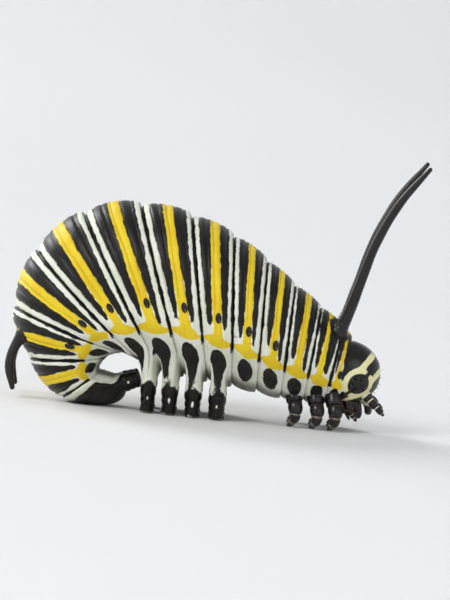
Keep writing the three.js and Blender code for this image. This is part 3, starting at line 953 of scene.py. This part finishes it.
def add_bake_map(piece):
    """A map for baking, where each bristle is a small patch at its root's place on the unrolled skin."""
    mesh = piece.data
    corners = np.empty(len(mesh.loops), np.int32)
    mesh.loops.foreach_get("vertex_index", corners)
    places = np.empty((len(corners), 2), np.float32)
    for axis, name in enumerate(("map_u", "map_v")):
        value = np.empty(len(mesh.vertices), np.float32)
        mesh.attributes[name].data.foreach_get("value", value)
        places[:, axis] = value[corners]
    mesh.uv_layers.new(name="OFBake").data.foreach_set("uv", places.ravel())


# The head


HEAD_CENTRE = np.array((6.85, 0.0, 3.35))
# Half its length, width and height
HEAD_HALF = np.array((2.05, 1.88, 2.0))
# The face looks forward and down, and the pale bands arch round this direction
FACE_AXIS = np.array((0.8, 0.0, -0.6))
FACE_UP = np.array((0.6, 0.0, 0.8))


def head_surface(turn, angle):
    """The head capsule: two lobes with a groove between them above, narrowing to the mouth."""
    around = np.sin(turn) ** 0.92
    up = -np.cos(angle) * around
    side = np.sin(angle) * around
    groove = 0.07 * np.exp(-((side / 0.16) ** 2)) * smoothstep(0.1, 0.8, up)
    narrow = 1 - 0.16 * smoothstep(0.1, 1, -up)
    forward = np.cos(turn) * (1 - 0.05 * np.maximum(0, -up))
    return HEAD_CENTRE + np.stack([forward, side * narrow, up * (1 - groove)], axis=-1) * HEAD_HALF


def head_direction(points):
    """Directions from the middle of the head, as if it were round."""
    unit = (points - HEAD_CENTRE) / HEAD_HALF
    return unit / np.linalg.norm(unit, axis=-1)[..., None]


# Pale bands in degrees from the face axis: centre, half breadth and lower end, and half the gap in the
# middle in millimetres
FACE_WEDGE = (21, 3.4, -28, 0.0)
FRONT_ARCH = (49, 5.8, -42, 0.05)
REAR_ARCH = (79, 5.2, -38, 0.26)
# The capsule's mean radius, which turns an angle to a length along it
HEAD_RADIUS = 1.95
# The dark patch of the eyes, and the pale ring round it: radius and half breadth
EYE_PATCH = 0.66
EYE_RING = (0.82, 0.15)


def head_bands(points):
    """How far each point of the head lies inside a pale band, and its arch, rise and way off the middle."""
    unit = head_direction(points)
    ahead, up = unit @ FACE_AXIS, unit @ FACE_UP
    around = np.degrees(np.arctan2(np.abs(unit[..., 1]), ahead))
    rise = np.degrees(np.arcsin(np.clip(up, -1, 1)))
    # Arches stand on straight legs below the axis
    arch = np.where(rise > 0, np.degrees(np.arccos(np.clip(ahead, -1, 1))), around)
    wedge = around + 0.55 * np.maximum(rise, 0)
    per_degree = math.radians(HEAD_RADIUS)
    middle = np.abs(unit[..., 1]) * HEAD_HALF[1]
    pale = np.full(arch.shape, OUTSIDE)
    for measure, band in ((wedge, FACE_WEDGE), (arch, FRONT_ARCH), (arch, REAR_ARCH)):
        centre, half, low, parting = band
        # The rear band runs out in rounded ends beside the middle
        ending = 1.0
        if band is REAR_ARCH:
            ending = np.sqrt(1 - (1 - np.clip((middle - parting) / 0.5, 0, 1)) ** 2)
        band = (half * ending - np.abs(measure - centre)) * per_degree
        band = soft_min(band, (rise - low) * per_degree, 0.08)
        pale = soft_max(pale, np.minimum(band, middle - parting), 0.1)
    # The bands part round the dark patch that holds the eyes
    centre, _ = eye_place(1)
    left = np.stack([points[..., 0], np.abs(points[..., 1]), points[..., 2]], axis=-1)
    away = np.linalg.norm(left - centre, axis=-1)
    between = (FRONT_ARCH[0] + REAR_ARCH[0]) / 2
    ring = EYE_RING[1] - np.abs(away - EYE_RING[0])
    ring = soft_min(ring, (np.abs(arch - between) - 3.5) * per_degree, 0.12)
    pale = soft_min(soft_max(pale, ring, 0.14), away - EYE_PATCH, 0.05)
    return pale, arch, rise, middle


def head_shell():
    """The capsule with its middle groove, the sutures beside the face and its pale bands."""
    turn, angle = np.meshgrid(np.linspace(0.015, 0.72 * np.pi, 120), turns_of(168), indexing="ij")
    points = head_surface(turn, angle)
    pale, arch, rise, middle = head_bands(points)
    outward = (points - HEAD_CENTRE) / np.square(HEAD_HALF)
    outward /= np.linalg.norm(outward, axis=-1)[..., None]
    wedge = np.where(rise > -30, np.degrees(middle / HEAD_RADIUS) + 0.55 * np.maximum(rise, 0), 90)
    # A groove down the middle, one beside the face on each side, and a face that lies a little deeper
    seam = 0.04 * np.exp(-((middle / 0.05) ** 2)) * smoothstep(38, 50, arch) * (rise > 0)
    cheek = 0.035 * np.exp(-(((wedge - 28) / 1.8) ** 2)) * smoothstep(-30, -15, rise)
    face = 0.05 * smoothstep(26, 18, wedge) * smoothstep(-30, -10, rise)
    points = points + outward * (0.018 * noise_field(points, 0.9, 5) - seam - cheek - face)[..., None]
    shell = Shell()
    shell.add_rings(points, pale=pale)
    return shell


# Where the eye patch lies in the side view, as X and Z
EYE = (7.65, 2.9)


def eye_place(side):
    """The middle of an eye patch on the capsule, and the way it looks."""
    forward, _, up = (np.array((EYE[0], 0.0, EYE[1])) - HEAD_CENTRE) / HEAD_HALF
    unit = np.array((forward, math.sqrt(1 - up * up - forward * forward) * side, up))
    look = unit / HEAD_HALF
    return HEAD_CENTRE + unit * HEAD_HALF, look / np.linalg.norm(look)


# Each lens: its bearing in the eye patch in degrees, 0 towards the face, its distance out and its radius
STEMMATA = (
    (118, 0.4, 0.14), (72, 0.43, 0.15), (26, 0.42, 0.155),
    (-20, 0.41, 0.145), (-72, 0.42, 0.13), (-158, 0.36, 0.12),
)


def stemmata_shell(side):
    """Six small lenses, each a dome in a low socket: four in an arc, one below them and one behind."""
    centre, look = eye_place(side)
    right = np.cross((0.0, 0.0, 1.0), look)
    right /= np.linalg.norm(right)
    above = np.cross(look, right)
    shell = Shell()
    profile = [(1.35, -0.12), (1.3, -0.02), (1.16, 0.035), (1.02, 0.02), (0.98, 0.03)]
    profile += [(math.cos(a), 0.03 + 0.13 * math.sin(a)) for a in np.linspace(0.15, 1.45, 8)]
    for way, off, size in STEMMATA:
        way = math.radians(way)
        place = centre + right * math.cos(way) * off * side + above * math.sin(way) * off
        place = HEAD_CENTRE + head_direction(place) * HEAD_HALF
        shell.add_rings(raised_rings(place, look, right * size, above * size, profile, 24))
    return shell


def jointed(shell, line, pieces, sides=20, membrane=0.04):
    """Add a limb of hard pieces, each as (start, end, first radius, last radius, swelling).

    Each is nested in the one before, and pale membrane shows over the given length at its start.
    """
    shares = np.linspace(0, 1, 17)
    rounded = np.sqrt(np.clip(1 - (2 * shares - 1) ** 8, 0.06, 1))
    for start, end, first, second, bulge in pieces:
        radius = (first + (second - first) * shares + bulge * np.sin(np.pi * shares)) * rounded
        places = start + (end - start) * shares
        ends, _ = smooth_line(line, places[[0, -1]])
        run = np.linalg.norm(ends[1] - ends[0]) * shares
        shell.add_rings(rings_along(line, places, radius, sides), pale=membrane - run)


def leg_shell(ring, side):
    """A thoracic leg: hip, thigh, shin and foot, each a hard tube, and a curved claw on the floor."""
    belly = catmull([edge[1] for edge in RINGS], (ring + 0.5) / SEGMENTS)
    line = [
        (belly[0], 1.0, belly[1] + 0.75),
        (belly[0] + 0.15, 1.375, belly[1] + 0.1),
        (belly[0] + 0.3, 1.75, belly[1] * 0.55),
        (belly[0] + 0.18, 1.625, belly[1] * 0.25),
        (belly[0] - 0.15, 1.2, 0.02),
    ]
    shell = Shell()
    pieces = [
        (0.0, 0.36, 0.56, 0.47, 0.0),
        (0.33, 0.6, 0.4, 0.34, 0.06),
        (0.57, 0.78, 0.31, 0.24, 0.04),
        (0.76, 0.93, 0.22, 0.14, 0.03),
        (0.9, 1.0, 0.1, 0.035, 0.01),
    ]
    jointed(shell, mirrored(line, side), pieces, membrane=0.12)
    shell.points = [np.column_stack([p[:, :2], np.maximum(p[:, 2], 0.0)]) for p in shell.points]
    return shell


# Round the mouth


def labrum_shell():
    """The upper lip, a plate with a notch in the middle of its lower edge."""
    shell = Shell()
    shares = np.linspace(0, 1, 22)
    centre, _ = smooth_line([(7.95, 0, 2.05), (8.35, 0, 1.5), (8.4, 0, 1.02)], shares)
    turn = turns_of(56)
    size = np.sqrt(np.clip(1 - (2 * shares - 1) ** 6, 0.05, 1))[:, None]
    wide = 0.62 * (1 - 0.24 * shares[:, None]) * size * np.sin(turn)
    deep = 0.24 * size * np.sign(np.cos(turn)) * np.abs(np.cos(turn)) ** 0.8
    rings = centre[:, None] + np.stack([deep, wide, np.zeros_like(wide)], axis=-1)
    notch = np.exp(-((rings[..., 1] / 0.13) ** 2)) * smoothstep(0.55, 1, shares)[:, None]
    rings[..., 2] += 0.24 * notch
    shell.add_rings(rings, pale=0.16 - np.abs(shares - 0.3) * 0.9)
    return shell


def mandible_shell(side):
    """A stout jaw that flattens to a cutting edge with blunt teeth."""
    shell = Shell()
    shares = np.linspace(0, 1, 24)
    line = mirrored([(7.5, 0.55, 1.95), (7.7, 0.5, 1.3), (7.8, 0.42, 0.85)], side)
    _, along = smooth_line(line, shares)
    radius = catmull((0.3, 0.36, 0.33, 0.3, 0.24), shares)
    radius = radius * np.sqrt(np.clip(1 - (2 * shares - 1) ** 10, 0.1, 1))
    rings = rings_along(line, shares, radius, 40, 1 - 0.72 * smoothstep(0.35, 1, shares))
    waves = np.abs(np.sin(2.5 * np.arccos(np.cos(turns_of(40)))))
    teeth = 0.07 * waves * smoothstep(0.7, 1, shares)[:, None]
    shell.add_rings(rings + teeth[..., None] * along[:, None])
    return shell


def maxilla_shell(side):
    """A lower jaw: a broad base, a short inner lobe and a palp of three joints."""
    shell = Shell()
    line = mirrored([(7.1, 0.9, 1.95), (7.3, 0.88, 1.25), (7.75, 0.82, 0.65)], side)
    joints = [
        (0.0, 0.45, 0.36, 0.32, 0.02),
        (0.4, 0.66, 0.25, 0.21, 0.02),
        (0.63, 0.82, 0.16, 0.14, 0.01),
        (0.8, 1.0, 0.11, 0.07, 0.01),
    ]
    jointed(shell, line, joints, membrane=0.06)
    lobe = mirrored([(7.35, 0.72, 1.35), (7.62, 0.66, 1.0), (7.75, 0.62, 0.82)], side)
    jointed(shell, lobe, [(0.0, 1.0, 0.17, 0.1, 0.01)], membrane=0.0)
    return shell


def labium_shell():
    """The lower lip with its silk spinneret and two small palps."""
    shell = Shell()
    lip = [(6.95, 0, 1.75), (7.05, 0, 1.3), (7.15, 0, 1.0)]
    jointed(shell, lip, [(0.0, 1.0, 0.3, 0.27, 0.04)], membrane=0.05)
    spinneret = [(7.1, 0, 1.05), (7.25, 0, 0.8), (7.35, 0, 0.62)]
    jointed(shell, spinneret, [(0.0, 1.0, 0.12, 0.05, 0.01)], membrane=0.03)
    joints = [(0.0, 0.6, 0.07, 0.06, 0.01), (0.55, 1.0, 0.045, 0.03, 0.0)]
    for _, side in SIDES:
        palp = mirrored([(7.1, 0.17, 1.1), (7.2, 0.22, 0.92), (7.28, 0.24, 0.78)], side)
        jointed(shell, palp, joints, sides=12, membrane=0.03)
    return shell


def antenna_shell(side):
    """A short feeler: a soft pale base, two dark joints ringed with white, and a bristle at the tip."""
    shell = Shell()
    line = mirrored([(8.0, 0.95, 2.4), (8.6, 1.15, 1.85), (9.3, 1.35, 1.2)], side)
    jointed(shell, line, [(0.0, 0.34, 0.3, 0.27, 0.02)], sides=28, membrane=0.3)
    jointed(shell, line, [(0.3, 0.66, 0.22, 0.22, 0.03)], sides=28, membrane=0.14)
    jointed(shell, line, [(0.62, 0.92, 0.18, 0.16, 0.02)], sides=28, membrane=0.1)
    jointed(shell, line, [(0.9, 1.0, 0.1, 0.07, 0.01)], sides=20, membrane=0.04)
    return shell


def filament_shell(line, radii, steps, side):
    """A fleshy filament, flared where it leaves the skin, ringed by fine wrinkles and rounded at its tip."""
    line = mirrored(line, side)
    _, _, points, outward, _ = body_grid()
    _, _, root = exit_point(points, outward, line)
    # Steps crowd together at the rounded tip
    tip = 1 - (1 / steps) * (1 - np.linspace(0.2, 1, 7)) ** 2
    shares = np.concatenate([np.linspace(0, 1, steps + 1)[:-1], tip])
    centre, _ = smooth_line(line, shares)
    length = np.sum(np.linalg.norm(np.diff(centre, axis=0), axis=1))
    run = shares * length
    radius = catmull(radii, shares) + 0.2 * np.exp(-np.clip(run - root * length + 0.1, 0, None) / 0.22)
    wrinkle = np.abs(np.sin(run / 0.24 * np.pi)) ** 0.6
    radius = radius * (0.97 + 0.04 * wrinkle + 0.02 * np.sin(run * 3.1))
    radius = radius * np.sqrt(np.clip(1 - (1 - np.clip((length - run) / radii[-1], 0, 1)) ** 2, 0.01, 1))
    shell = Shell()
    shell.add_rings(rings_along(line, shares, radius, 20))
    return shell


# Settings shown in the sidebar


class LarvaColours(bpy.types.PropertyGroup):
    """Colours of the larva, as sRGB hex codes."""

    white: bpy.props.StringProperty(name="White", description="Pale bands", default="#F3F3E8")
    white_shade: bpy.props.StringProperty(name="White shade", description="Clouds in them", default="#E3E7D2")
    yellow: bpy.props.StringProperty(name="Yellow", description="Yellow bands", default="#F3D72C")
    yellow_shade: bpy.props.StringProperty(
        name="Yellow shade", description="Clouds in them", default="#E9C61E"
    )
    black: bpy.props.StringProperty(name="Black", description="Black bands", default="#131211")
    black_shade: bpy.props.StringProperty(name="Black shade", description="Clouds in them", default="#1E1B19")
    dusk: bpy.props.StringProperty(name="Belly", description="Dusky belly", default="#6C6C60")
    # Painted shade: the colour that darkens the skin inside its folds
    fold: bpy.props.StringProperty(name="Folds", description="Painted shade inside folds", default="#8E8C70")


class LarvaStudio(bpy.types.PropertyGroup):
    """Camera and light."""

    distance: bpy.props.FloatProperty(
        name="Distance", description="From the camera to the larva", default=0.34, unit="LENGTH"
    )
    elevation: bpy.props.FloatProperty(
        name="Elevation", description="Camera's height angle", default=math.radians(4.5), subtype="ANGLE"
    )
    roll: bpy.props.FloatProperty(
        name="Roll", description="Camera's turn about its view", default=math.radians(6.0), subtype="ANGLE"
    )
    frame_width: bpy.props.FloatProperty(
        name="Frame width", description="Width of the picture at the larva", default=0.02647, unit="LENGTH"
    )
    paper: bpy.props.StringProperty(name="Paper", description="Floor and backdrop colour", default="#E9E9E9")


# Operators


# What the camera looks at, in the frame's millimetres
PICTURE_MIDDLE = (0.584, 0, 6.91)


class LARVA_OT_camera(bpy.types.Operator):
    """Set the camera level with the right flank, rolled a little as the picture is"""

    bl_idname = "larva.camera"
    bl_label = "Camera"

    def execute(self, context):
        settings = context.scene.larva_studio
        data = bpy.data.cameras.new("camera")
        data.sensor_fit = "HORIZONTAL"
        data.lens = data.sensor_width * settings.distance / settings.frame_width
        data.clip_start = 0.01
        data.clip_end = 10
        camera = bpy.data.objects.new("camera", data)
        context.collection.objects.link(camera)
        target = Vector(PICTURE_MIDDLE) * MM
        towards = Vector((0, math.cos(settings.elevation), -math.sin(settings.elevation)))
        camera.location = target - towards * settings.distance
        turn = towards.to_track_quat("-Z", "Y").to_matrix()
        camera.rotation_euler = (turn @ Matrix.Rotation(settings.roll, 3, "Z")).to_euler()
        context.scene.camera = camera
        return {"FINISHED"}


class LARVA_OT_studio(bpy.types.Operator):
    """Set the pale floor, which curves up all round into a backdrop, and the soft lights"""

    bl_idname = "larva.studio"
    bl_label = "Studio"

    def execute(self, context):
        # From the middle out, as (radius, height) in metres: flat, then a quarter round, then straight up
        bend, sides = 0.5, 96
        profile = [(0.15, 0.0), (bend, 0.0)]
        for a in np.linspace(0.1, math.pi / 2, 14):
            profile.append((bend + bend * math.sin(a), bend - bend * math.cos(a)))
        profile.append((2 * bend, 1.4))
        points = [(r * math.cos(t), r * math.sin(t), z) for r, z in profile for t in turns_of(sides)]
        points.append((0, 0, 0))
        faces = [[k, (k + 1) % sides, len(points) - 1] for k in range(sides)]
        for row in range(len(profile) - 1):
            for k in range(sides):
                a, b = row * sides + k, row * sides + (k + 1) % sides
                faces.append([a, a + sides, b + sides, b])
        mesh = bpy.data.meshes.new("studio floor")
        mesh.from_pydata(points, [], faces)
        mesh.shade_smooth()
        mesh.materials.append(studio_paper(context.scene.larva_studio.paper))
        floor = bpy.data.objects.new("studio_floor", mesh)
        context.collection.objects.link(floor)
        # Soft discs of light round the larva, each with its place and diameter in metres and power in watts
        aim = Vector((0, 0, 6)) * MM
        for name, place, size, power in (
            ("key", (-0.3, -0.3, 0.36), 0.28, 1.35),
            ("fill", (0.4, -0.6, 0.4), 0.5, 0.6),
            ("back", (-0.6, 0.56, 0.5), 0.5, 5.0),
        ):
            data = bpy.data.lights.new(name, "AREA")
            data.shape = "DISK"
            data.size = size
            data.energy = power
            light = bpy.data.objects.new(name, data)
            light.location = place
            light.rotation_euler = (aim - Vector(place)).to_track_quat("-Z", "Y").to_euler()
            context.collection.objects.link(light)
        world = bpy.data.worlds.new("soft sky")
        world.use_nodes = True
        sky = world.node_tree.nodes["Background"]
        sky.inputs["Color"].default_value = (0.9, 0.93, 1.0, 1.0)
        sky.inputs["Strength"].default_value = 0.45
        context.scene.world = world
        context.scene.view_settings.view_transform = "Standard"
        return {"FINISHED"}


class LARVA_OT_skin(bpy.types.Operator):
    """Build the banded skin with its folds and fleshy prolegs"""

    bl_idname = "larva.skin"
    bl_label = "Skin"

    def execute(self, context):
        nodes = [f"thorax_{i}" for i in (1, 2, 3)] + [f"abdomen_{i}" for i in range(1, 11)]
        for side, _ in SIDES:
            nodes += [f"proleg_{i}_{side}" for i in (3, 4, 5, 6)] + [f"anal_proleg_{side}"]
        skin_shell().build("skin", cuticle(context.scene.larva_colours), "skin", *nodes)
        return {"FINISHED"}


class LARVA_OT_head(bpy.types.Operator):
    """Build the head capsule and the small eyes on its sides"""

    bl_idname = "larva.head"
    bl_label = "Head"

    def execute(self, context):
        head_shell().build("head_capsule_shell", chitin("head chitin"), "head", "head_capsule")
        lens = chitin("stemma lens")
        for name, side in SIDES:
            stemmata_shell(side).build(f"stemmata_domes_{name}", lens, "stemmata", f"stemmata_{name}")
        return {"FINISHED"}


class LARVA_OT_mouthparts(bpy.types.Operator):
    """Build the jaws, lips and feelers round the mouth"""

    bl_idname = "larva.mouthparts"
    bl_label = "Mouthparts"

    def execute(self, context):
        jaw = chitin("jaw chitin")
        feeler = chitin("feeler chitin")
        labrum_shell().build("labrum_shell", jaw, "mouthparts", "labrum")
        labium_shell().build("labium_shell", jaw, "mouthparts", "labium")
        for name, side in SIDES:
            mandible_shell(side).build(f"mandible_shell_{name}", jaw, "mouthparts", f"mandible_{name}")
            maxilla_shell(side).build(f"maxilla_shell_{name}", jaw, "mouthparts", f"maxilla_{name}")
            antenna_shell(side).build(f"antenna_joints_{name}", feeler, "feelers", f"antenna_{name}")
        return {"FINISHED"}


class LARVA_OT_details(bpy.types.Operator):
    """Build the spiracles, the hooks on the soles and the short bristles"""

    bl_idname = "larva.details"
    bl_label = "Spiracles, hooks and bristles"

    def execute(self, context):
        spiracle_shell().build("spiracles", chitin("black horn"), "skin")
        crochet_shell().build("crochets", chitin("hook horn"), "skin")
        add_bake_map(bristle_shell().build("bristles", chitin("bristle"), "skin"))
        return {"FINISHED"}


class LARVA_OT_legs(bpy.types.Operator):
    """Build the jointed legs of the thorax"""

    bl_idname = "larva.legs"
    bl_label = "Legs"

    def execute(self, context):
        material = chitin("leg chitin")
        for name, side in SIDES:
            for number in (1, 2, 3):
                leg = leg_shell(number - 1, side)
                leg.build(f"jointed_leg_{number}_{name}", material, "true_legs", f"leg_{number}_{name}")
        return {"FINISHED"}


class LARVA_OT_filaments(bpy.types.Operator):
    """Build the long front filaments and the short rear ones"""

    bl_idname = "larva.filaments"
    bl_label = "Filaments"

    def execute(self, context):
        material = chitin("filament cuticle")
        for name, side in SIDES:
            for end, line, radii, steps in (
                ("front", FRONT_LINE, FRONT_RADII, 260), ("rear", REAR_LINE, REAR_RADII, 110)
            ):
                filament = filament_shell(line, radii, steps, side)
                filament.build(f"{end}_filament_{name}", material, "filaments", f"filament_{end}_{name}")
        return {"FINISHED"}


class LARVA_PT_panel(bpy.types.Panel):
    """Buttons that build the larva piece by piece"""

    bl_label = "Monarch Larva"
    bl_idname = "LARVA_PT_panel"
    bl_space_type = "VIEW_3D"
    bl_region_type = "UI"
    bl_category = "Larva"

    def draw(self, context):
        for operator in OPERATORS:
            self.layout.operator(operator.bl_idname)


GROUPS = (LarvaColours, LarvaStudio)
OPERATORS = (
    LARVA_OT_camera,
    LARVA_OT_studio,
    LARVA_OT_skin,
    LARVA_OT_head,
    LARVA_OT_mouthparts,
    LARVA_OT_legs,
    LARVA_OT_filaments,
    LARVA_OT_details,
)


def register():
    """Register the classes and give every scene the larva's settings."""
    for group in GROUPS + OPERATORS + (LARVA_PT_panel,):
        bpy.utils.register_class(group)
    bpy.types.Scene.larva_colours = bpy.props.PointerProperty(type=LarvaColours)
    bpy.types.Scene.larva_studio = bpy.props.PointerProperty(type=LarvaStudio)


def unregister():
    """Take all of it away again."""
    del bpy.types.Scene.larva_colours
    del bpy.types.Scene.larva_studio
    for group in reversed(GROUPS + OPERATORS + (LARVA_PT_panel,)):
        bpy.utils.unregister_class(group)


def main():
    """Build the larva and its studio."""
    register()
    for operator in OPERATORS:
        group, name = operator.bl_idname.split(".")
        getattr(getattr(bpy.ops, group), name)()


if __name__ == "__main__":
    main()
